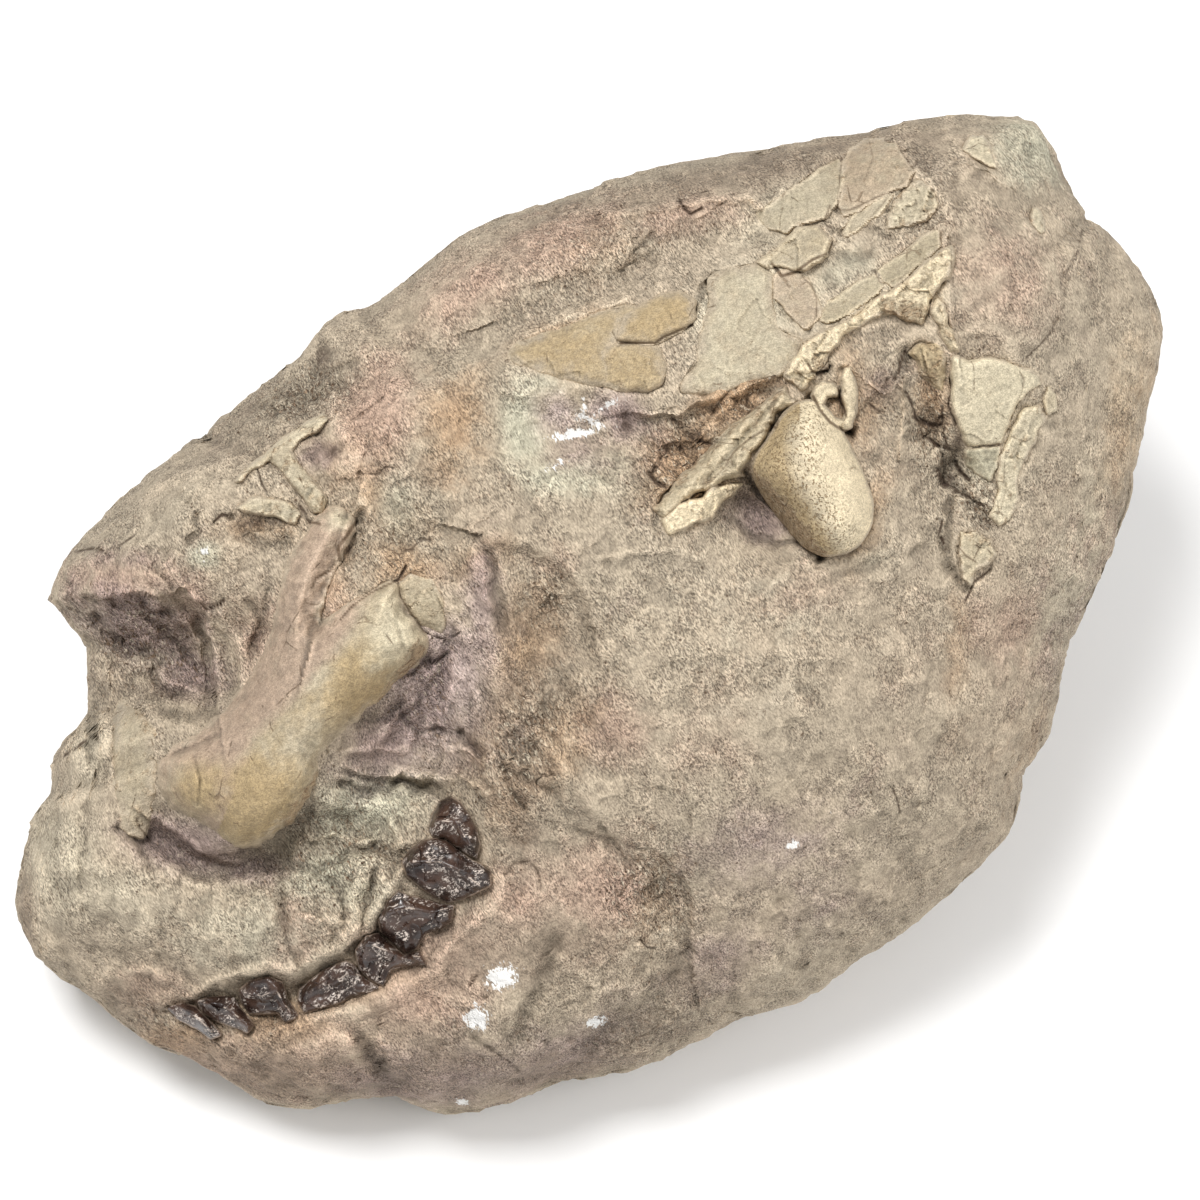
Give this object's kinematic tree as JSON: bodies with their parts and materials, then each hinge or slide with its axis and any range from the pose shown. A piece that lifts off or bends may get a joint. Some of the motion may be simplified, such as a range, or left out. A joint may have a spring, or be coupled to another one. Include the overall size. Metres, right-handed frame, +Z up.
{
  "type": "fossil oreodont skull",
  "caption": "Fossil skull of an oreodont lying on its side in its mudstone nodule, with cheek bone, teeth and skull-roof bones exposed.",
  "frame": {"origin": "middle of the bounding box's base, on the plane the nodule rests on", "axes": "+X along the length from the muzzle to the back of the skull, +Y across, from the jaw side to the skull roof, +Z up"},
  "size_m": [0.2548, 0.1622, 0.1306],
  "materials": {
    "mudstone": "dull tan-grey mudstone with pink, purple-grey and greenish tints, finely pitted",
    "fossil_bone": "cream to yellow-ochre mineralised bone, worn smooth, cracked",
    "tooth_enamel": "dark brown glossy fossil enamel with pale scratches"
  },
  "bodies": {
    "root": {"bar_bone": "fossil_bone", "bar_chip": "fossil_bone", "brow_bone": "fossil_bone", "brow_chip": "fossil_bone", "cheek_bone": "fossil_bone", "cheek_end": "fossil_bone", "crest_bone": "fossil_bone", "crest_leg": "fossil_bone", "crown_chip": "fossil_bone", "crown_sliver": "fossil_bone", "curl_bone": "fossil_bone", "matrix_block": "mudstone", "muzzle_plate": "fossil_bone", "nape_foot": "fossil_bone", "nape_green": "fossil_bone", "nape_ochre": "fossil_bone", "nape_plate": "fossil_bone", "nape_rim": "fossil_bone", "nape_sliver": "fossil_bone", "rod_bone": "fossil_bone", "roof_fan_left": "fossil_bone", "roof_fan_right": "fossil_bone", "roof_fan_top": "fossil_bone", "roof_flake": "fossil_bone", "roof_long_left": "fossil_bone", "roof_long_right": "fossil_bone", "roof_pale": "fossil_bone", "roof_raised": "fossil_bone", "roof_sliver": "fossil_bone", "temple_lower": "fossil_bone", "temple_slab": "fossil_bone", "temple_upper": "fossil_bone", "tooth_1": "tooth_enamel", "tooth_2": "tooth_enamel", "tooth_3": "tooth_enamel", "tooth_4": "tooth_enamel", "tooth_5": "tooth_enamel", "tooth_6": "tooth_enamel", "tooth_7": "tooth_enamel", "tooth_8": "tooth_enamel"}
  },
  "joints": []
}
